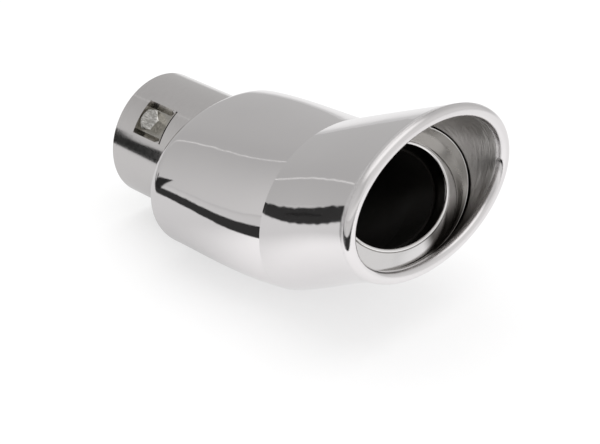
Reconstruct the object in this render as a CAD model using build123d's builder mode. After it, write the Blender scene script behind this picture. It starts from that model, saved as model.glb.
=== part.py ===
"""Clamp-on exhaust tip: round inlet collar, flat-oval body, raised oval outlet with a rolled rim.

The origin is the centre of the collar's rear face. +X runs forward along the collar's axis,
+Z is up and Y is the width. The tip is symmetrical about the plane Y = 0, apart from the clamp
bolts, and lies on the belly of its body. Lengths are in millimetres.
"""
import os
from math import cos, radians, sin, tan

from build123d import *

# Sheet and tube walls
SHELL_WALL = 1.2
COLLAR_WALL = 1.5
DUCT_WALL = 1.2
SKIRT_WALL = 1.0

# Inlet collar
COLLAR_RADIUS = 31.5
COLLAR_LENGTH = 50.0
COLLAR_RIM_CHAMFER = 0.4

# Clamp pockets pressed into the collar
POCKET_COUNT = 3
POCKET_CLOCK = 136.0
POCKET_HALF_ANGLE = 16.5
POCKET_START = 11.2
POCKET_LENGTH = 20.4
POCKET_DEPTH = 4.1
POCKET_FLOOR_HALF_WIDTH = 6.2
POCKET_RAMP_LENGTH = 3.2
POCKET_REAR_WALL = 1.2
FRONT_SLIT = 1.0

# Clamp bolts and their weld nuts
BOLT_RADIUS = 3.0
BOLT_LENGTH = 10.0
BOLT_PLACE = 7.2
BOLT_HOLE_CLEARANCE = 0.2
THREAD_CLEARANCE = 0.05
HEAD_ACROSS_FLATS = 10.0
HEAD_HEIGHT = 4.0
HEAD_TURN = 12.0
HEAD_CHAMFER_INSET = 0.25
HEAD_DISH_RADIUS = 3.6
HEAD_DISH_DEPTH = 0.4
NUT_ACROSS_FLATS = 10.0
NUT_HEIGHT = 5.0

# Stations of the body: place along X, then half width, half height, centre height, squareness
BODY_REAR = 44.0
BODY_REAR_SIZE = (50.3, 36.0, -1.8, 2.13)
BODY_MIDDLE = 80.0
BODY_MIDDLE_SIZE = (50.6, 38.6, 0.6, 2.13)
BODY_FRONT = 108.0
BODY_FRONT_SIZE = (47.9, 40.0, 2.0, 2.13)
SEAM = 117.0
SEAM_SIZE = (45.7, 40.6, 3.1, 2.13)
BODY_REAR_ROUNDING = 9.0

# Height of the narrow flat along the belly, which the tip lies on
BELLY_FLAT = -37.65

# Stations of the outlet
OUTLET_ROOT = 124.0
OUTLET_ROOT_SIZE = (46.6, 40.6, 6.4, 2.12)
OUTLET_MIDDLE = 150.0
OUTLET_MIDDLE_SIZE = (49.6, 39.4, 19.6, 2.06)
MOUTH = 175.5
MOUTH_SIZE = (54.1, 39.3, 31.1, 2.01)

# Rolled rim and the skirt that the sheet's edge runs back into
RIM_RADIUS = 3.0
RIM_HALF_WIDTH = 51.4
RIM_HALF_HEIGHT = 36.2
SKIRT_GAP = 3.4
SKIRT_MIDDLE = 159.5
SKIRT_MIDDLE_HEIGHT = 23.3
SKIRT_TILT = 26.0

# Raised end of the inner pipe: its beaded lip, the sleeve behind it and the duct inside that
PIPE_RISE = 33.0
LIP_PLACE = (156.3, 22.8)
LIP_HALF_WIDTH = 33.3
LIP_HALF_HEIGHT = 23.2
LIP_RADIUS = 1.0
SLEEVE_WALL = 1.2
SLEEVE_LENGTH = 24.0
DUCT_INSERT = 16.0
DUCT_BEHIND = 2.0
DUCT_CLEARANCE = 0.05
DUCT_STRAIGHT = 92.0
DUCT_BEND = (117.0, 1.7, 13.5)

OUTLINE_POINTS = 16

SKIRT_INSET = SHELL_WALL + SKIRT_GAP
STRAP_LENGTH = POCKET_LENGTH - FRONT_SLIT - POCKET_RAMP_LENGTH
COLLAR_BORE = COLLAR_RADIUS - COLLAR_WALL
FLOOR_OUTSIDE = COLLAR_RADIUS - POCKET_DEPTH
FLOOR_INSIDE = FLOOR_OUTSIDE - COLLAR_WALL
POCKET_CLOCKS = [POCKET_CLOCK + 360 / POCKET_COUNT * step for step in range(POCKET_COUNT)]
SLEEVE_BORE = LIP_RADIUS - SLEEVE_WALL
DUCT_HALF_WIDTH = LIP_HALF_WIDTH + SLEEVE_BORE - DUCT_CLEARANCE
DUCT_HALF_HEIGHT = LIP_HALF_HEIGHT + SLEEVE_BORE - DUCT_CLEARANCE


def cross_plane(place, height=0.0):
    """Plane across the X axis, with its own x along Y and its own y up."""
    return Plane(origin=(place, 0, height), x_dir=(0, 1, 0), z_dir=(1, 0, 0))


def leaning_plane(place, height, lean):
    """Plane across the X axis whose normal is raised by an angle, its own x along Y."""
    turn = radians(lean)
    return Plane(origin=(place, 0, height), x_dir=(0, 1, 0), z_dir=(cos(turn), 0, sin(turn)))


def pipe_plane(back):
    """Plane across the raised end of the inner pipe, a distance back from the lip's centre."""
    rise = radians(PIPE_RISE)
    return leaning_plane(LIP_PLACE[0] - back * cos(rise), LIP_PLACE[1] - back * sin(rise),
                         PIPE_RISE)


def profile_plane(path_plane, half_height):
    """Plane along a ring's axis at the ring's top: own x outwards, own y forwards."""
    origin = path_plane.origin + path_plane.y_dir * half_height
    return Plane(origin=origin, x_dir=path_plane.y_dir, z_dir=path_plane.x_dir)


def ring_path(path_plane, half_width, half_height):
    """Closed elliptical path on a plane, in two halves that meet at the top and the bottom."""
    with BuildLine(path_plane, mode=Mode.PRIVATE) as path:
        EllipticalCenterArc((0, 0), half_width, half_height, 90, arc_size=180)
        EllipticalCenterArc((0, 0), half_width, half_height, 270, arc_size=180)
    return path.wire()


def pocket_plane(clock, place=0.0):
    """Plane across the X axis whose own y points out at a clock angle round the collar."""
    turn = radians(clock)
    return Plane(origin=(place, 0, 0), x_dir=(0, sin(turn), -cos(turn)), z_dir=(1, 0, 0))


def bolt_plane(clock, radius):
    """Plane across a bolt, at a distance from the collar's axis, facing outwards."""
    turn = radians(clock)
    out = (0, cos(turn), sin(turn))
    middle = POCKET_START + BOLT_PLACE
    return Plane(origin=(middle, radius * out[1], radius * out[2]), x_dir=(1, 0, 0), z_dir=out)


def oval_points(half_width, half_height, squareness):
    """Points of an oval whose squareness is 2 for an ellipse and more for a fuller one."""
    points = []
    for step in range(OUTLINE_POINTS):
        turn = radians(360 / OUTLINE_POINTS * step)
        c, s = cos(turn), sin(turn)
        x = half_width * abs(c) ** (2 / squareness) * (1 if c > 0 else -1)
        y = half_height * abs(s) ** (2 / squareness) * (1 if s > 0 else -1)
        points.append((x, y))
    return points


def oval_section(place, size, inset=0.0):
    """Oval sketch across the X axis, drawn in by an inset."""
    half_width, half_height, height, squareness = size
    points = oval_points(half_width - inset, half_height - inset, squareness)
    with BuildSketch(cross_plane(place, height), mode=Mode.PRIVATE) as section:
        with BuildLine():
            Spline(*points, periodic=True)
        make_face()
    return section.sketch


def ellipse_section(plane, half_width, half_height):
    """Elliptical sketch on a plane."""
    with BuildSketch(plane, mode=Mode.PRIVATE) as section:
        with BuildLine():
            Spline(*oval_points(half_width, half_height, 2.0), periodic=True)
        make_face()
    return section.sketch


def strap_outline(outside):
    """Outline of the strap across X, with its floor's outer face at a distance from the axis."""
    half = radians(POCKET_HALF_ANGLE)
    inside_half_width = POCKET_FLOOR_HALF_WIDTH - COLLAR_WALL * 0.4
    outer_end = (COLLAR_RADIUS * sin(half), COLLAR_RADIUS * cos(half))
    inner_end = (COLLAR_BORE * sin(half), COLLAR_BORE * cos(half))
    return [
        outer_end,
        (POCKET_FLOOR_HALF_WIDTH, outside),
        (-POCKET_FLOOR_HALF_WIDTH, outside),
        (-outer_end[0], outer_end[1]),
        (-inner_end[0], inner_end[1]),
        (-inside_half_width, outside - COLLAR_WALL),
        (inside_half_width, outside - COLLAR_WALL),
        inner_end,
    ]


def strap_section(clock, place, outside):
    """Sketch of the strap's section at a place along X."""
    with BuildSketch(pocket_plane(clock, place), mode=Mode.PRIVATE) as section:
        Polygon(*strap_outline(outside), align=None)
    return section.sketch


BODY_STATIONS = [(BODY_REAR, BODY_REAR_SIZE), (BODY_MIDDLE, BODY_MIDDLE_SIZE),
                 (BODY_FRONT, BODY_FRONT_SIZE), (SEAM, SEAM_SIZE)]
OUTLET_STATIONS = [(SEAM, SEAM_SIZE), (OUTLET_ROOT, OUTLET_ROOT_SIZE),
                   (OUTLET_MIDDLE, OUTLET_MIDDLE_SIZE), (MOUTH, MOUTH_SIZE)]

RIM_PLANE = cross_plane(MOUTH, MOUTH_SIZE[2])

# Round collar with pressed pockets for the clamp bolts
with BuildPart() as inlet_collar:
    with BuildSketch(cross_plane(0)):
        Circle(COLLAR_RADIUS)
        Circle(COLLAR_BORE, mode=Mode.SUBTRACT)
    extrude(amount=COLLAR_LENGTH)
    rear_edges = inlet_collar.edges().group_by(Axis.X)[0]
    chamfer(rear_edges.sort_by(SortBy.RADIUS)[-1], COLLAR_RIM_CHAMFER)
    ramp_top = COLLAR_RADIUS * cos(radians(POCKET_HALF_ANGLE / 2))
    for clock in POCKET_CLOCKS:
        reach = 2 * COLLAR_RADIUS
        half = radians(POCKET_HALF_ANGLE)
        with BuildSketch(pocket_plane(clock, POCKET_START)):
            Polygon((0, 0), (reach * sin(half), reach * cos(half)),
                    (-reach * sin(half), reach * cos(half)), align=None)
        extrude(amount=POCKET_LENGTH, mode=Mode.SUBTRACT)
        extrude(strap_section(clock, POCKET_START, FLOOR_OUTSIDE), amount=STRAP_LENGTH)
        loft(sections=[
            strap_section(clock, POCKET_START + STRAP_LENGTH, FLOOR_OUTSIDE),
            strap_section(clock, POCKET_START + STRAP_LENGTH + POCKET_RAMP_LENGTH, ramp_top),
        ], ruled=True)
        with BuildSketch(pocket_plane(clock, POCKET_START)):
            Circle(COLLAR_RADIUS)
            Polygon((0, 0), (reach * sin(half), reach * cos(half)),
                    (-reach * sin(half), reach * cos(half)), align=None, mode=Mode.INTERSECT)
            Polygon((0, 0), *strap_outline(FLOOR_OUTSIDE)[4:], align=None, mode=Mode.SUBTRACT)
        extrude(amount=POCKET_REAR_WALL)
        with BuildSketch(bolt_plane(clock, FLOOR_INSIDE)):
            Circle(BOLT_RADIUS + BOLT_HOLE_CLEARANCE)
        extrude(amount=POCKET_DEPTH, both=True, mode=Mode.SUBTRACT)
inlet_collar.part.label = "inlet_collar"

# Space inside the body shell
with BuildPart() as body_hollow:
    hollow_stations = [(BODY_REAR + SHELL_WALL, BODY_REAR_SIZE)] + BODY_STATIONS[1:]
    loft(sections=[oval_section(x, size, SHELL_WALL) for x, size in hollow_stations])
    fillet(body_hollow.edges().group_by(Axis.X)[0], BODY_REAR_ROUNDING - SHELL_WALL)

# Body shell, drawn in and rounded at the rear, open at the seam, flattened along its belly
with BuildPart() as rear_shell:
    loft(sections=[oval_section(x, size) for x, size in BODY_STATIONS])
    fillet(rear_shell.edges().group_by(Axis.X)[0], BODY_REAR_ROUNDING)
    add(body_hollow.part, mode=Mode.SUBTRACT)
    with BuildSketch(cross_plane(BODY_REAR)):
        Circle(COLLAR_RADIUS)
    extrude(amount=BODY_REAR_ROUNDING + SHELL_WALL, mode=Mode.SUBTRACT)
    split(bisect_by=Plane.XY.offset(BELLY_FLAT), keep=Keep.TOP)
rear_shell.part.label = "rear_shell"

# Core of the rolled rim, up to the middle of its sheet
with BuildPart() as rim_core:
    with BuildSketch(profile_plane(RIM_PLANE, RIM_HALF_HEIGHT)):
        Circle(RIM_RADIUS - SHELL_WALL / 2)
    sweep(path=ring_path(RIM_PLANE, RIM_HALF_WIDTH, RIM_HALF_HEIGHT))

# Space between the wall and the skirt, taken to the middle of their sheets
with BuildPart() as rim_slit:
    loft(sections=[oval_section(x, size, SHELL_WALL / 2) for x, size in OUTLET_STATIONS])
    loft(sections=[oval_section(x, size, SKIRT_INSET + SKIRT_WALL / 2)
                   for x, size in OUTLET_STATIONS], mode=Mode.SUBTRACT)

# Rolled rim, a hollow ring of sheet that is open at its rear
with BuildPart() as rolled_rim:
    with BuildSketch(profile_plane(RIM_PLANE, RIM_HALF_HEIGHT)):
        Circle(RIM_RADIUS)
        Circle(RIM_RADIUS - SHELL_WALL, mode=Mode.SUBTRACT)
    sweep(path=ring_path(RIM_PLANE, RIM_HALF_WIDTH, RIM_HALF_HEIGHT))
    add(rim_slit.part, mode=Mode.SUBTRACT)

# Skirt of sheet inside the mouth, deep at the top and short at the bottom
with BuildPart() as skirt:
    loft(sections=[oval_section(x, size, SKIRT_INSET) for x, size in OUTLET_STATIONS])
    loft(sections=[oval_section(x, size, SKIRT_INSET + SKIRT_WALL)
                   for x, size in OUTLET_STATIONS], mode=Mode.SUBTRACT)
    split(bisect_by=leaning_plane(SKIRT_MIDDLE, SKIRT_MIDDLE_HEIGHT, SKIRT_TILT), keep=Keep.TOP)
    add(rim_core.part, mode=Mode.SUBTRACT)

# Outlet shell: the sheet runs up to the mouth, curls round into the rim and back as the skirt
with BuildPart() as outlet_shell:
    loft(sections=[oval_section(x, size) for x, size in OUTLET_STATIONS])
    loft(sections=[oval_section(x, size, SHELL_WALL) for x, size in OUTLET_STATIONS],
         mode=Mode.SUBTRACT)
    add(rim_core.part, mode=Mode.SUBTRACT)
    add(skirt.part)
    add(rolled_rim.part)
outlet_shell.part.label = "outlet_shell"

# Duct that leads on from the collar, turns upwards and ends inside the sleeve
with BuildPart() as inner_duct:
    for inset, mode in ((0, Mode.ADD), (DUCT_WALL, Mode.SUBTRACT)):
        start = COLLAR_RADIUS - inset
        end = (DUCT_HALF_WIDTH - inset, DUCT_HALF_HEIGHT - inset)
        duct_end = ellipse_section(pipe_plane(SLEEVE_LENGTH + DUCT_BEHIND), *end)
        loft(sections=[
            ellipse_section(cross_plane(COLLAR_LENGTH), start, start),
            ellipse_section(cross_plane(DUCT_STRAIGHT), start, start),
            ellipse_section(leaning_plane(*DUCT_BEND), (start + end[0]) / 2,
                            (start + end[1]) / 2),
            duct_end,
        ], mode=mode)
        extrude(duct_end, amount=DUCT_BEHIND + DUCT_INSERT, mode=mode)
inner_duct.part.label = "inner_duct"

# Sleeve round the duct's end, with its front edge rolled inwards into a thin bead
with BuildPart() as inner_sleeve:
    with BuildSketch(profile_plane(pipe_plane(0), LIP_HALF_HEIGHT)):
        Circle(LIP_RADIUS)
        with Locations((LIP_RADIUS, 0)):
            Rectangle(SLEEVE_WALL, SLEEVE_LENGTH, align=(Align.MAX, Align.MAX))
    sweep(path=ring_path(pipe_plane(0), LIP_HALF_WIDTH, LIP_HALF_HEIGHT))
inner_sleeve.part.label = "inner_sleeve"

os.makedirs("parts", exist_ok=True)
export_step(inlet_collar.part, "parts/inlet_collar.step")
export_step(rear_shell.part, "parts/rear_shell.step")
export_step(outlet_shell.part, "parts/outlet_shell.step")
export_step(inner_duct.part, "parts/inner_duct.step")
export_step(inner_sleeve.part, "parts/inner_sleeve.step")

# Hex-headed clamp bolts standing in the pockets, each with its nut inside the collar
for number, clock in enumerate(POCKET_CLOCKS, start=1):
    with BuildPart() as clamp_bolt:
        with BuildSketch(bolt_plane(clock, FLOOR_OUTSIDE)):
            RegularPolygon(HEAD_ACROSS_FLATS / 2, 6, major_radius=False, rotation=HEAD_TURN)
        extrude(amount=HEAD_HEIGHT)
        head_top = HEAD_ACROSS_FLATS / 2 - HEAD_CHAMFER_INSET
        with Locations(bolt_plane(clock, FLOOR_OUTSIDE)):
            Cone(head_top + HEAD_HEIGHT / tan(radians(30)), head_top, HEAD_HEIGHT,
                 align=(Align.CENTER, Align.CENTER, Align.MIN), mode=Mode.INTERSECT)
        dish = (HEAD_DISH_RADIUS ** 2 + HEAD_DISH_DEPTH ** 2) / (2 * HEAD_DISH_DEPTH)
        with Locations(bolt_plane(clock, FLOOR_OUTSIDE + HEAD_HEIGHT - HEAD_DISH_DEPTH + dish)):
            Sphere(dish, mode=Mode.SUBTRACT)
        with BuildSketch(bolt_plane(clock, FLOOR_OUTSIDE)):
            Circle(BOLT_RADIUS - THREAD_CLEARANCE)
        extrude(amount=-BOLT_LENGTH)
    clamp_bolt.part.label = f"clamp_bolt_{number}"
    export_step(clamp_bolt.part, f"parts/clamp_bolt_{number}.step")

    with BuildPart() as clamp_nut:
        with BuildSketch(bolt_plane(clock, FLOOR_INSIDE)):
            RegularPolygon(NUT_ACROSS_FLATS / 2, 6, major_radius=False)
            Circle(BOLT_RADIUS, mode=Mode.SUBTRACT)
        extrude(amount=-NUT_HEIGHT)
    clamp_nut.part.label = f"clamp_nut_{number}"
    export_step(clamp_nut.part, f"parts/clamp_nut_{number}.step")
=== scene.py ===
# %% [markdown]
# # A polished exhaust tip
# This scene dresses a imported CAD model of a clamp-on exhaust tip. The model comes in as a fixed
# frame in metres, with +X towards the outlet and +Z up. Its sheet-metal shells are fine enough
# for a mirror finish, so they keep their CAD meshes and get materials here. What the mirrors
# show is a small studio of table, card and walls, and that is most of the work.

# %% Load the frame
from math import cos, radians, sin

import bpy
from mathutils import Matrix, Vector


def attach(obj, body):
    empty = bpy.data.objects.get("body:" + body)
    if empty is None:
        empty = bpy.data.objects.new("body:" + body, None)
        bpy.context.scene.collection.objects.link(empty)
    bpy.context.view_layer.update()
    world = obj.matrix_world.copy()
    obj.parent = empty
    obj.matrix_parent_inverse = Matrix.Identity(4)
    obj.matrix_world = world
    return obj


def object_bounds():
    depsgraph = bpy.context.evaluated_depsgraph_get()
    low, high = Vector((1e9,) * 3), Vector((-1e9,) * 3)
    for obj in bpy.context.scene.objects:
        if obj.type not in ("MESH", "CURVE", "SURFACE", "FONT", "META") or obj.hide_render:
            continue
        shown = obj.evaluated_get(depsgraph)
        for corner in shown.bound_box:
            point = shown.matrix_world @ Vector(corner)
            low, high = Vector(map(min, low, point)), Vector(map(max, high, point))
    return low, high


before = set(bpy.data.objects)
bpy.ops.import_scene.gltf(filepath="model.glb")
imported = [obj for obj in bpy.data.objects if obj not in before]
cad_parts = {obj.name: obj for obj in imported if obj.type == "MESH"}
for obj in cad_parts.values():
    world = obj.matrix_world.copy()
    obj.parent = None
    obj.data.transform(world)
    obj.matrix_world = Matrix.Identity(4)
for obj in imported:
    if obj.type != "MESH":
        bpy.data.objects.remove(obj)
CAD_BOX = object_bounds()
MM = 0.001
print("CAD box", [round(v, 4) for corner in CAD_BOX for v in corner])

# %% [markdown]
# ## The camera
# A product photograph like this is taken from a little under one metre with a long lens, so the
# shape is hardly distorted. The camera looks down at the tip from in front of its outlet. Its
# place was worked out from the ellipses that the collar, the seam and the rim make in the picture.

# %% Camera
EYE = Vector((578, -497, 376)) * MM
LOOK = Vector((-0.6052, 0.6267, -0.4909))
LENS_MM = 100.6
SENSOR_MM = 36

camera_data = bpy.data.cameras.new("camera")
camera_data.lens = LENS_MM
camera_data.sensor_width = SENSOR_MM
camera_data.sensor_fit = "HORIZONTAL"
camera = bpy.data.objects.new("camera", camera_data)
camera.location = EYE
camera.rotation_euler = LOOK.to_track_quat("-Z", "Y").to_euler()
bpy.context.scene.collection.objects.link(camera)
bpy.context.scene.camera = camera
bpy.context.scene.view_settings.view_transform = "Standard"
print("camera", [round(c, 3) for c in camera.location], "lens", LENS_MM, "mm")

# %% [markdown]
# ## Writing shader maths in Python
# Node trees are easier to read as expressions. The small class below wraps a socket, so that
# `mask * 0.5 + 0.2` adds the Math nodes that do it. Every other node comes from `make`.


# %% Shader helper
class Wire:
    """An output socket that takes part in Python arithmetic."""

    def __init__(self, tree, socket):
        self.tree = tree
        self.socket = socket

    def math(self, operation, *values):
        """A Math node of that operation on this value and the others."""
        node = self.tree.nodes.new("ShaderNodeMath")
        node.operation = operation
        for place, value in enumerate((self, *values)):
            plug(self.tree, value, node.inputs[place])
        return Wire(self.tree, node.outputs[0])

    def __add__(self, other):
        return self.math("ADD", other)

    __radd__ = __add__

    def __mul__(self, other):
        return self.math("MULTIPLY", other)

    __rmul__ = __mul__

    def __sub__(self, other):
        return self.math("SUBTRACT", other)

    def __rsub__(self, other):
        return (self * -1) + other

    def __pow__(self, other):
        return self.math("POWER", other)

    def step(self, start, end):
        """A smooth ramp from 0 at start to 1 at end."""
        return make(self.tree, "ShaderNodeMapRange", {"interpolation_type": "SMOOTHSTEP"},
                    {"Value": self, "From Min": start, "From Max": end})


def plug(tree, value, socket):
    """Links a wire to a socket, or sets the socket to a number, colour or vector."""
    if isinstance(value, Wire):
        tree.links.new(value.socket, socket)
    else:
        socket.default_value = value


def make(tree, kind, settings=None, inputs=None, output=0):
    """Adds a node, sets it up, fills its sockets and returns the output as a wire."""
    node = tree.nodes.new(kind)
    for name, setting in (settings or {}).items():
        setattr(node, name, setting)
    for name, value in (inputs or {}).items():
        plug(tree, value, node.inputs[name])
    return Wire(tree, node.outputs[output])


def mix(tree, factor, low, high, kind="RGBA"):
    """A colour between two colours, or with kind VECTOR a direction between two directions."""
    return make(tree, "ShaderNodeMix", {"data_type": kind},
                {"Factor": factor, "A": low, "B": high}, "Result")


def split(tree, vector):
    """The three parts of a vector."""
    node = make(tree, "ShaderNodeSeparateXYZ", {}, {"Vector": vector}).socket.node
    return [Wire(tree, output) for output in node.outputs]


def facing(tree):
    """The direction that the surface faces."""
    return make(tree, "ShaderNodeNewGeometry", output="Normal")


def ray_is(tree, kind):
    """1 for rays of one kind, such as Camera or Glossy, and 0 for others."""
    return make(tree, "ShaderNodeLightPath", output=f"Is {kind} Ray")


def new_material(name, metallic=1.0):
    """A material, its node tree, its main shader and the Object coordinates."""
    material = bpy.data.materials.new(name)
    material.use_nodes = True
    tree = material.node_tree
    shader = tree.nodes["Principled BSDF"]
    shader.inputs["Metallic"].default_value = metallic
    place = make(tree, "ShaderNodeTexCoord", output="Object")
    return material, tree, shader, place


def noise(tree, place, scale, detail, stretch=(1, 1, 1)):
    """Noise over the object, its scale in features per metre, stretched by a vector."""
    mapped = make(tree, "ShaderNodeMapping", {}, {"Vector": place, "Scale": stretch})
    return make(tree, "ShaderNodeTexNoise", {},
                {"Vector": mapped, "Scale": scale, "Detail": detail})


def bump(tree, shader, height, distance, strength=1.0, base=None):
    """A bump on the shader's normal: the height times the distance is in metres."""
    inputs = {"Height": height, "Distance": distance, "Strength": strength}
    if base is not None:
        inputs["Normal"] = base
    plug(tree, make(tree, "ShaderNodeBump", {}, inputs), shader.inputs["Normal"])


# %% [markdown]
# ## The flange round the inner pipe
# Looking into the mouth, a pressed dish closes the gap between the inner pipe and the rim's
# skirt. Its flat floor is welded round the pipe, and its wall is turned forwards and welded to
# the skirt's rear edge. Such a dish could be spun or lofted. Here it starts as one circle,
# because each bend of the pressing is one extrusion of that edge loop, scaled, moved and turned
# to the next oval, and Subdivision Surface and Solidify then make it smooth sheet metal.

# %% Flange sizes
PIPE_TILT = radians(33)
FLANGE_MIDDLE = Vector((155.96, 0, 22.58)) * MM
FLANGE_WALL = 0.8 * MM
FLANGE_CORNERS = 96
FLANGE_LEVELS = 2
PIPE_OVAL = (34.2, 24.1)
SKIRT_OVAL = (45.4, 30.7)
SKIRT_DROP = -1.2
SKIRT_TURN = radians(7)
FLANGE_RINGS = (
    # share of the way from the pipe to the skirt, mm forwards, share of the skirt's turn
    (0.0, 0.0, 0),
    (0.08, -0.15, 0),
    (0.5, -1.0, 0),
    (0.88, -1.75, 0),
    (0.97, -1.8, 0),
    (1.0, -1.2, 0.1),
    (1.0, 1.2, 0.6),
    (1.0, 3.5, 1.0),
)


def flange_ring(share, forwards, turned):
    """The half width, half height, drop, forward place and turn of one ring of the flange."""
    wide, high = (pipe + (skirt - pipe) * share for pipe, skirt in zip(PIPE_OVAL, SKIRT_OVAL))
    return wide * MM, high * MM, SKIRT_DROP * share * MM, forwards * MM, SKIRT_TURN * turned


# %% Flange's first ring, round the pipe
bpy.ops.object.select_all(action="DESELECT")
wide, high, drop, ahead, turn = flange_ring(*FLANGE_RINGS[0])
bpy.ops.mesh.primitive_circle_add(vertices=FLANGE_CORNERS, radius=1, location=(0, 0, ahead))
flange = bpy.context.object
flange.name = "pipe_flange"
bpy.ops.object.transform_apply(location=True, rotation=False, scale=False)
bpy.ops.object.mode_set(mode="EDIT")
bpy.ops.mesh.select_all(action="SELECT")
bpy.ops.transform.resize(value=(wide, high, 1), center_override=(0, 0, 0))

# %% Flange's other rings, each extruded from the one before
for ring in FLANGE_RINGS[1:]:
    new_wide, new_high, new_drop, new_ahead, new_turn = flange_ring(*ring)
    bpy.ops.mesh.extrude_edges_move()
    bpy.ops.transform.resize(value=(new_wide / wide, new_high / high, 1),
                             center_override=(0, drop, 0))
    bpy.ops.transform.rotate(value=turn - new_turn, orient_axis="X",
                             center_override=(0, drop, ahead))
    bpy.ops.transform.translate(value=(0, new_drop - drop, new_ahead - ahead))
    wide, high, drop, ahead, turn = new_wide, new_high, new_drop, new_ahead, new_turn
bpy.ops.mesh.select_all(action="SELECT")
bpy.ops.mesh.normals_make_consistent(inside=False)
bpy.ops.object.mode_set(mode="OBJECT")

# %% Flange in its place, as smooth sheet
# The ring's own x, y and z become the tip's width, the way up the mouth and the way out of it.
flange.matrix_world = Matrix((
    (0, -sin(PIPE_TILT), cos(PIPE_TILT), FLANGE_MIDDLE.x),
    (1, 0, 0, 0),
    (0, cos(PIPE_TILT), sin(PIPE_TILT), FLANGE_MIDDLE.z),
    (0, 0, 0, 1)))
bpy.ops.object.transform_apply(location=True, rotation=True, scale=True)
for kind, settings in (("SUBSURF", {"levels": FLANGE_LEVELS, "render_levels": FLANGE_LEVELS}),
                       ("SOLIDIFY", {"thickness": FLANGE_WALL, "offset": -1})):
    modifier = flange.modifiers.new(kind.title(), kind)
    for name, setting in settings.items():
        setattr(modifier, name, setting)
    bpy.ops.object.modifier_apply(modifier=modifier.name)
bpy.ops.object.shade_smooth()
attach(flange, "root")
print("pipe_flange", len(flange.data.polygons), "faces")

# %% [markdown]
# ## The table
# Chrome has no colour of its own: it shows the room. The reflections in the photograph tell
# where that room is bright. The tip lies on a white table that ends on the camera's side of it.
# A dark slot runs along the table's edge, and beyond it stands a grey wall. All three could be
# boards, but one plane with soft steps in its colour does the same with one mesh. Only mirror
# rays see the slot and the wall. The camera sees plain white with the tip's own shadow.

# %% Table's sizes and tones
FLOOR_HEIGHT = CAD_BOX[0][2]
FLOOR_SIZE = 6.0
FLOOR_COLOUR = (0.45, 0.45, 0.4525, 1)
FLOOR_LIFT = 0.55
# An edge runs at y = start + slope * x.
TABLE_EDGE = (-0.143, 0.20)
WALL_EDGE = (-0.247, 0.27)
EDGE_BLUR = 0.002
SLOT_COLOUR = (0.03, 0.03, 0.03, 1)
WALL_COLOUR = (0.55, 0.55, 0.55, 1)
TABLE_TONE = 0.84
# The table is darker near the collar and brighter in front of the outlet.
NEAR_REACH = (0.0, 0.15)
NEAR_CHANGE = (0.03, 0.11)
NEAR_DARKER = 0.18
NEAR_BRIGHTER = 0.30
FAR_REACH = (0.25, 1.0)
FAR_DARKER = 0.22
MATT = 0.9


def past(x, y, edge):
    """1 on the camera's side of an edge, 0 on the tip's side."""
    return (x * edge[1] + edge[0] - y).step(-EDGE_BLUR, EDGE_BLUR)


# %% Table
bpy.ops.object.select_all(action="DESELECT")
bpy.ops.mesh.primitive_plane_add(size=FLOOR_SIZE, location=(0, 0, FLOOR_HEIGHT))
floor = bpy.context.object
floor.name = "floor"

material, tree, shader, place = new_material("studio_floor", metallic=0.0)
x, y, z = split(tree, place)
past_edge = past(x, y, TABLE_EDGE)
beyond = mix(tree, past(x, y, WALL_EDGE), SLOT_COLOUR, WALL_COLOUR)
near = 1 - y.step(*NEAR_REACH)
tone = TABLE_TONE + near * (x.step(*NEAR_CHANGE) * NEAR_BRIGHTER - NEAR_DARKER)
tone = tone - y.step(*FAR_REACH) * FAR_DARKER
mirrored = ray_is(tree, "Glossy")
table = mix(tree, 1 + mirrored * (tone - 1), (0, 0, 0, 1), FLOOR_COLOUR)
plug(tree, mix(tree, past_edge * mirrored, table, beyond), shader.inputs["Base Color"])
shader.inputs["Roughness"].default_value = MATT
shader.inputs["Specular IOR Level"].default_value = 0.0
shader.inputs["Emission Color"].default_value = (1, 1, 1, 1)
lit = ray_is(tree, "Camera") + mirrored * tone * (1 - past_edge)
plug(tree, lit * FLOOR_LIFT, shader.inputs["Emission Strength"])
floor.data.materials.append(material)
print("table", FLOOR_SIZE, "m wide at z", round(FLOOR_HEIGHT, 4))

# %% [markdown]
# ## The dark card
# The satin collar and the rounded rear of the body mirror something nearly black that stands
# low on the camera's left. In a studio that is a flag of black card. It is one flat polygon here,
# cut to the outline that the dark band on the collar asks for. Neither the camera nor the soft
# light sees it.

# %% Dark card on the left
CARD_DEPTH = -0.215
CARD_OUTLINE = ((-0.121, -0.030), (-0.210, -0.038), (-0.210, 0.050), (-0.182, 0.054),
                (-0.161, 0.018), (-0.149, 0.032), (-0.121, 0.045))
CARD_COLOUR = (0.012, 0.012, 0.012, 1)

card_mesh = bpy.data.meshes.new("dark_card")
card_mesh.from_pydata([(x, CARD_DEPTH, z) for x, z in CARD_OUTLINE], [],
                      [tuple(range(len(CARD_OUTLINE)))])
card = bpy.data.objects.new("dark_card", card_mesh)
bpy.context.scene.collection.objects.link(card)
card.visible_camera = False
card.visible_diffuse = False
card.visible_shadow = False
material, tree, shader, place = new_material("dark_card", metallic=0.0)
shader.inputs["Base Color"].default_value = CARD_COLOUR
shader.inputs["Roughness"].default_value = MATT
card_mesh.materials.append(material)
print("dark card with", len(CARD_OUTLINE), "corners")

# %% [markdown]
# ## The walls
# The photograph's reflections are darker where the mirrors face what stands behind the tip and
# brighter where they face the front, and one thin bright line crosses both shells. A ring of
# softboxes would do that. The world's strength does it here with a few steps in direction,
# because it costs no light samples. The camera gets plain white, and matt things an even light.

# %% World
WALL_BEHIND = 0.47
WALL_SIDE = 0.20
WALL_FRONT = 0.30
CEILING = 0.55
CEILING_START = (0.72, 0.92)
SIDE_POWER = 1.5
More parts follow.
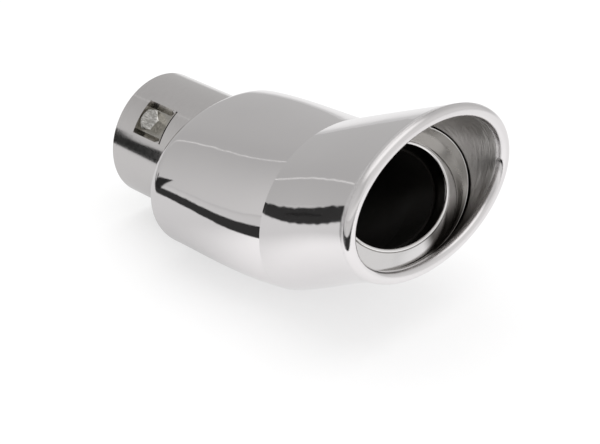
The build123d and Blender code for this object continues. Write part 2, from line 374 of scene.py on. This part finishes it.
# The far side is dimmed, and so is the upper left of the front.
FAR_SIDE = (0.0, 0.6)
FAR_SIDE_DIMMED = 0.6
FRONT_LEFT = (-0.15, -0.45)
FRONT_UPPER = (0.1, 0.4)
LINE = 0.9
LINE_HALF_WIDTH = 0.0075
LINE_CORE = 0.5
LINE_PLACE = 0.035
LINE_LEAN = 0.10
LINE_BEHIND = (0, -0.1)
LINE_FOOT = (-0.02, 0.02)
LINE_TOP = (0.85, 0.70)
AMBIENT = 0.95
WORLD_COLOUR = (1.0, 0.997, 0.99, 1)

world = bpy.data.worlds.new("studio")
bpy.context.scene.world = world
world.use_nodes = True
tree = world.node_tree
background = tree.nodes["Background"]
x, y, z = split(tree, make(tree, "ShaderNodeTexCoord", output="Generated"))
front = x.math("MAXIMUM", 0) * (1 - y.step(*FRONT_LEFT) * z.step(*FRONT_UPPER))
side = (y.math("ABSOLUTE") ** SIDE_POWER) * (1 - y.step(*FAR_SIDE) * FAR_SIDE_DIMMED)
walls = side * WALL_SIDE + front * WALL_FRONT + WALL_BEHIND + z.step(*CEILING_START) * CEILING
off_line = (y + LINE_PLACE + z * LINE_LEAN).math("ABSOLUTE")
line = off_line.step(LINE_HALF_WIDTH, LINE_HALF_WIDTH * LINE_CORE) * x.step(*LINE_BEHIND)
line = line * z.step(*LINE_FOOT) * z.step(*LINE_TOP)
walls = walls + line * (LINE - walls)
level = walls + ray_is(tree, "Camera") * (1.0 - walls) + ray_is(tree, "Diffuse") * (AMBIENT - walls)
plug(tree, level, background.inputs["Strength"])
background.inputs["Color"].default_value = WORLD_COLOUR
print("world with", len(tree.nodes), "nodes")

# %% [markdown]
# ## The light overhead
# A large soft lamp above the table gives the tip its faint shadow. Its size makes the shadow
# fade out as the photograph's does. Mirrors don't see it, because the ceiling is in the world.

# %% Soft light overhead
LAMP_PLACE = Vector((0.1, 0.1, 1.6))
LAMP_AIM = Vector((0.1, 0, 0))
LAMP_SIZE = 1.6
LAMP_WATTS = 8

lamp_data = bpy.data.lights.new("overhead", "AREA")
lamp_data.shape = "SQUARE"
lamp_data.size = LAMP_SIZE
lamp_data.energy = LAMP_WATTS
lamp = bpy.data.objects.new("overhead", lamp_data)
lamp.location = LAMP_PLACE
lamp.rotation_euler = (LAMP_AIM - LAMP_PLACE).to_track_quat("-Z", "Y").to_euler()
lamp.visible_glossy = False
bpy.context.scene.collection.objects.link(lamp)
print("lamp", LAMP_WATTS, "W")

# %% [markdown]
# ## Painted reflection and soot in the mouth
# Low on its far side the mouth turns dark brown, partly a painted reflection and partly the stain
# that hot gas leaves. It crosses two pieces, so it is one mask in the object's own place that both
# finishes share. A painted picture could show its edge more finely, but a mask stays sharp at any
# size.

# %% Painted reflection and soot
# Dark brown low in the mouth: partly painted reflection, partly soot.
DARK_REFLECTION_AND_SOOT_COLOUR = (0.045, 0.039, 0.034, 1)
DARK_REFLECTION_AND_SOOT_HEIGHTS = (0.015, 0.002)
DARK_REFLECTION_AND_SOOT_SIDES = (0.003, 0.012)
DARK_REFLECTION_AND_SOOT = 0.93


def with_reflection_and_soot(tree, y, z, colour):
    """The colour with the mouth's painted reflection and soot over it."""
    reflection_and_soot = z.step(*DARK_REFLECTION_AND_SOOT_HEIGHTS) * y.step(*DARK_REFLECTION_AND_SOOT_SIDES) * DARK_REFLECTION_AND_SOOT
    return mix(tree, reflection_and_soot, colour, DARK_REFLECTION_AND_SOOT_COLOUR)


# %% [markdown]
# ## Polished steel of the two shells
# Outside, the sheet is polished to a mirror. A mirror needs only a pale metal of very low
# roughness, and slow clouds in both keep it from looking like glass. The inside of the outlet
# isn't polished after pressing, so it is darker and satin, with soft streaks that run round it,
# and a thin dark line of painted shade where the skirt's edge meets the flange. One material does
# both sides, because inside and outside are one sheet: a mask asks whether the surface faces the
# outlet's axis. The bevel node evens the surface round each point, as polishing does, and leaves
# the welded seam between the two shells sharp.

# %% Places on the outlet
# The outlet's axis runs at z = start + slope * x.
OUTLET_AXIS = (-0.0531, 0.48)
SKIRT_EDGE = (0.1595, 0.0233)
SKIRT_LEAN = radians(26)
ROLL_START = 0.1745
SEAM = 0.117
TURN_OVER = 0.001

# %% Polished steel
MIRROR_COLOURS = ((0.815, 0.793, 0.797, 1), (0.855, 0.833, 0.837, 1))
PRESSED_COLOURS = ((0.40, 0.385, 0.37, 1), (0.58, 0.565, 0.55, 1))
# Painted shade in the gap where the skirt's edge meets the flange.
CREVICE_SHADE_COLOUR = (0.03, 0.027, 0.024, 1)
CREVICE_SHADE_EDGES = (0.0013, 0.0007)
MIRROR_ROUGHNESS = 0.025
SMEAR_RANGE = (0.35, 0.8)
SMEAR_ROUGHNESS = 0.03
PRESSED_ROUGHNESS = 0.26
STREAK_ROUGHNESS = 0.14
WAVE_HEIGHT = 0.006 * MM
STREAK_HEIGHT = 0.22 * MM
EVENING = 0.0025
EVENING_SAMPLES = 8
SEAM_MARGIN = (0.0012, 0.0026)

polished, tree, shader, place = new_material("polished_steel")
x, y, z = split(tree, place)
plain = facing(tree)
facing_x, facing_y, facing_z = split(tree, plain)
outward = facing_y * y + facing_z * (z - (x * OUTLET_AXIS[1] + OUTLET_AXIS[0]))
inside = outward.step(TURN_OVER, -TURN_OVER)
inside = inside * x.step(ROLL_START + TURN_OVER, ROLL_START - TURN_OVER)

mirror = mix(tree, noise(tree, place, scale=35, detail=3), *MIRROR_COLOURS)
streak = noise(tree, place, scale=160, detail=3, stretch=(1, 0.15, 0.15))
# The inside gets the mouth's painted reflection and soot.
pressed = with_reflection_and_soot(tree, y, z, mix(tree, streak, *PRESSED_COLOURS))
# A thin line of painted shade along the skirt's rear edge.
crevice_shade = (x - SKIRT_EDGE[0]) * cos(SKIRT_LEAN) + (z - SKIRT_EDGE[1]) * sin(SKIRT_LEAN)
crevice_shade = crevice_shade.step(*CREVICE_SHADE_EDGES) * inside
shell_colour = mix(tree, inside, mirror, pressed)
plug(tree, mix(tree, crevice_shade, shell_colour, CREVICE_SHADE_COLOUR), shader.inputs["Base Color"])

smear = noise(tree, place, scale=90, detail=4).step(*SMEAR_RANGE)
sheen = smear * SMEAR_ROUGHNESS + MIRROR_ROUGHNESS
satin_sheen = streak * STREAK_ROUGHNESS + PRESSED_ROUGHNESS
plug(tree, sheen + inside * (satin_sheen - sheen), shader.inputs["Roughness"])

wave = noise(tree, place, scale=45, detail=1)
turned = noise(tree, place, scale=60, detail=1, stretch=(50, 1, 1))
even = make(tree, "ShaderNodeBevel", {"samples": EVENING_SAMPLES}, {"Radius": EVENING})
off_seam = (x - SEAM).math("ABSOLUTE").step(*SEAM_MARGIN)
even = mix(tree, off_seam, plain, even, kind="VECTOR")
bump(tree, shader, wave * WAVE_HEIGHT + inside * turned * STREAK_HEIGHT, distance=1.0, base=even)
print(polished.name, len(tree.nodes), "nodes")

# %% [markdown]
# ## Satin steel of the collar
# The collar is a length of tube, brushed rather than polished, so its reflections are soft. Its
# pressed pockets are darker. The grain runs round the tube, which a noise squeezed along x gives.
# The pockets are told from the tube by how near they are to its axis.

# %% Satin steel
POCKET_DEPTHS = (0.0312, 0.0298)
COLLAR_COLOURS = ((0.71, 0.69, 0.685, 1), (0.78, 0.757, 0.755, 1))
POCKET_COLOURS = ((0.30, 0.29, 0.26, 1), (0.62, 0.60, 0.56, 1))
COLLAR_ROUGHNESS = 0.10
POCKET_ROUGHER = 0.12
GRAIN_ROUGHNESS = 0.05
GRAIN_RANGE = (0.3, 0.7)
GRAIN_HEIGHT = 0.02 * MM
GRAIN_STRENGTH = 0.4

satin, tree, shader, place = new_material("satin_steel")
x, y, z = split(tree, place)
sunk = (y * y + z * z).math("SQRT").step(*POCKET_DEPTHS)
grain = noise(tree, place, scale=260, detail=3, stretch=(6, 1, 1))
skin = mix(tree, grain, *COLLAR_COLOURS)
pocket = mix(tree, grain, *POCKET_COLOURS)
plug(tree, mix(tree, sunk, skin, pocket), shader.inputs["Base Color"])
gloss = grain.step(*GRAIN_RANGE) * GRAIN_ROUGHNESS + COLLAR_ROUGHNESS + sunk * POCKET_ROUGHER
plug(tree, gloss, shader.inputs["Roughness"])
bump(tree, shader, grain, GRAIN_HEIGHT, GRAIN_STRENGTH)
print(satin.name, len(tree.nodes), "nodes")

# %% [markdown]
# ## Steel of the flange
# The flat ring round the pipe was polished before it was welded in, less well than the outside,
# and its turned-up wall is as dull as the skirt behind it. The wall is told from the flat by the
# way that it faces, so that no second material is needed.

# %% Flange steel
WALL_FACING = (0.95, 0.6)
RING_COLOURS = ((0.76, 0.745, 0.745, 1), (0.86, 0.845, 0.845, 1))
RING_WALL_COLOURS = ((0.36, 0.35, 0.33, 1), (0.54, 0.525, 0.50, 1))
RING_ROUGHNESS = 0.06
RING_STREAK_ROUGHNESS = 0.08
RING_WALL_ROUGHER = 0.18
RING_STREAK_HEIGHT = 0.04 * MM
RING_STREAK_STRENGTH = 0.3

ring_steel, tree, shader, place = new_material("ring_steel")
x, y, z = split(tree, place)
facing_x, facing_y, facing_z = split(tree, facing(tree))
streak = noise(tree, place, scale=120, detail=3, stretch=(1, 0.3, 0.3))
wall = (facing_x * cos(PIPE_TILT) + facing_z * sin(PIPE_TILT)).step(*WALL_FACING)
ring_colour = mix(tree, wall, mix(tree, streak, *RING_COLOURS), mix(tree, streak, *RING_WALL_COLOURS))
# The flange shares the mouth's painted reflection and soot.
plug(tree, with_reflection_and_soot(tree, y, z, ring_colour), shader.inputs["Base Color"])
gloss = streak * RING_STREAK_ROUGHNESS + RING_ROUGHNESS + wall * RING_WALL_ROUGHER
plug(tree, gloss, shader.inputs["Roughness"])
bump(tree, shader, streak, RING_STREAK_HEIGHT, RING_STREAK_STRENGTH)
flange.data.materials.append(ring_steel)
print(ring_steel.name, len(tree.nodes), "nodes")

# %% [markdown]
# ## The sleeve: a bright bead in front of a bore in painted shade
# The front edge of the sleeve is a bright bead, and right behind it the bore is nearly black,
# painted shade of the deep pipe with a little soot. Both are one piece of steel, so one material
# changes over from bright to that painted shade where the surface faces the sleeve's own axis and
# lies behind the bead.

# %% Sleeve steel
LIP_MIDDLE = (0.1563, 0.0228)
BORE_FACING = (0.001, -0.003)
BEAD_END = (0.0, -0.0008)
BEAD_COLOUR = (0.86, 0.845, 0.84, 1)
# Nearly black: painted shade of the deep bore, mottled by soot.
BORE_SHADE_COLOURS = ((0.010, 0.009, 0.008, 1), (0.05, 0.046, 0.04, 1))
BEAD_ROUGHNESS = 0.10
BORE_ROUGHER = 0.2
SOOT_ROUGHNESS = 0.2

lip_steel, tree, shader, place = new_material("lip_steel")
x, y, z = split(tree, place)
facing_x, facing_y, facing_z = split(tree, facing(tree))
along = (x - LIP_MIDDLE[0]) * cos(PIPE_TILT) + (z - LIP_MIDDLE[1]) * sin(PIPE_TILT)
across = (z - LIP_MIDDLE[1]) * cos(PIPE_TILT) - (x - LIP_MIDDLE[0]) * sin(PIPE_TILT)
facing_across = facing_z * cos(PIPE_TILT) - facing_x * sin(PIPE_TILT)
bore = (facing_y * y + facing_across * across).step(*BORE_FACING) * along.step(*BEAD_END)
soot = noise(tree, place, scale=300, detail=4)
# The bore's painted shade, mottled by soot.
sooty_shade = mix(tree, soot, *BORE_SHADE_COLOURS)
plug(tree, mix(tree, bore, BEAD_COLOUR, sooty_shade), shader.inputs["Base Color"])
gloss = bore * (soot * SOOT_ROUGHNESS + BORE_ROUGHER) + BEAD_ROUGHNESS
plug(tree, gloss, shader.inputs["Roughness"])
print(lip_steel.name, len(tree.nodes), "nodes")

# %% [markdown]
# ## Dark steel of the pipe inside
# The pipe inside carries the gas and was never polished. Hardly any light gets out of it, so it is a
# rather rough metal painted nearly black as that shade, with a little soot in it.

# %% Dark steel
DUCT_METALLIC = 0.6
DUCT_ROUGHNESS = 0.45
# Nearly black: painted shade of the deep pipe, mottled by soot.
DUCT_SHADE_COLOURS = ((0.012, 0.011, 0.010, 1), (0.03, 0.027, 0.024, 1))

dark, tree, shader, place = new_material("dark_steel", metallic=DUCT_METALLIC)
soot = noise(tree, place, scale=120, detail=4)
# The pipe's painted shade, mottled by soot.
plug(tree, mix(tree, soot, *DUCT_SHADE_COLOURS), shader.inputs["Base Color"])
plug(tree, soot * SOOT_ROUGHNESS + DUCT_ROUGHNESS, shader.inputs["Roughness"])
print(dark.name, len(tree.nodes), "nodes")

# %% [markdown]
# ## Plated steel of the fasteners
# Bolts and nuts are plated in a barrel, where they knock against each other. That leaves fine
# scratches and small dents, which a fine noise gives to the colour, the gloss and the bump.

# %% Plated steel
PLATED_COLOURS = ((0.46, 0.45, 0.42, 1), (0.78, 0.765, 0.74, 1))
PLATED_ROUGHNESS = 0.12
SCRATCH_ROUGHNESS = 0.2
SCRATCH_RANGE = (0.35, 0.7)
SCRATCH_HEIGHT = 0.06 * MM
SCRATCH_STRENGTH = 0.8

plated, tree, shader, place = new_material("plated_steel")
scratch = noise(tree, place, scale=500, detail=4, stretch=(1, 4, 1))
plug(tree, mix(tree, scratch.step(*SCRATCH_RANGE), *PLATED_COLOURS), shader.inputs["Base Color"])
plug(tree, scratch * SCRATCH_ROUGHNESS + PLATED_ROUGHNESS, shader.inputs["Roughness"])
bump(tree, shader, scratch, SCRATCH_HEIGHT, SCRATCH_STRENGTH)
print(plated.name, len(tree.nodes), "nodes")

# %% [markdown]
# ## Dressing the parts
# Every part of the CAD model keeps its mesh and gets one of the finishes. What isn't named
# below is a bolt or a nut.

# %% Dress the CAD nodes
FINISH = {"inlet_collar": satin, "rear_shell": polished, "outlet_shell": polished,
          "inner_duct": dark, "inner_sleeve": lip_steel}
for name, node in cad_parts.items():
    finish = FINISH.get(name, plated)
    node.data.materials.clear()
    node.data.materials.append(finish)
    print(name, len(node.data.polygons), "faces")
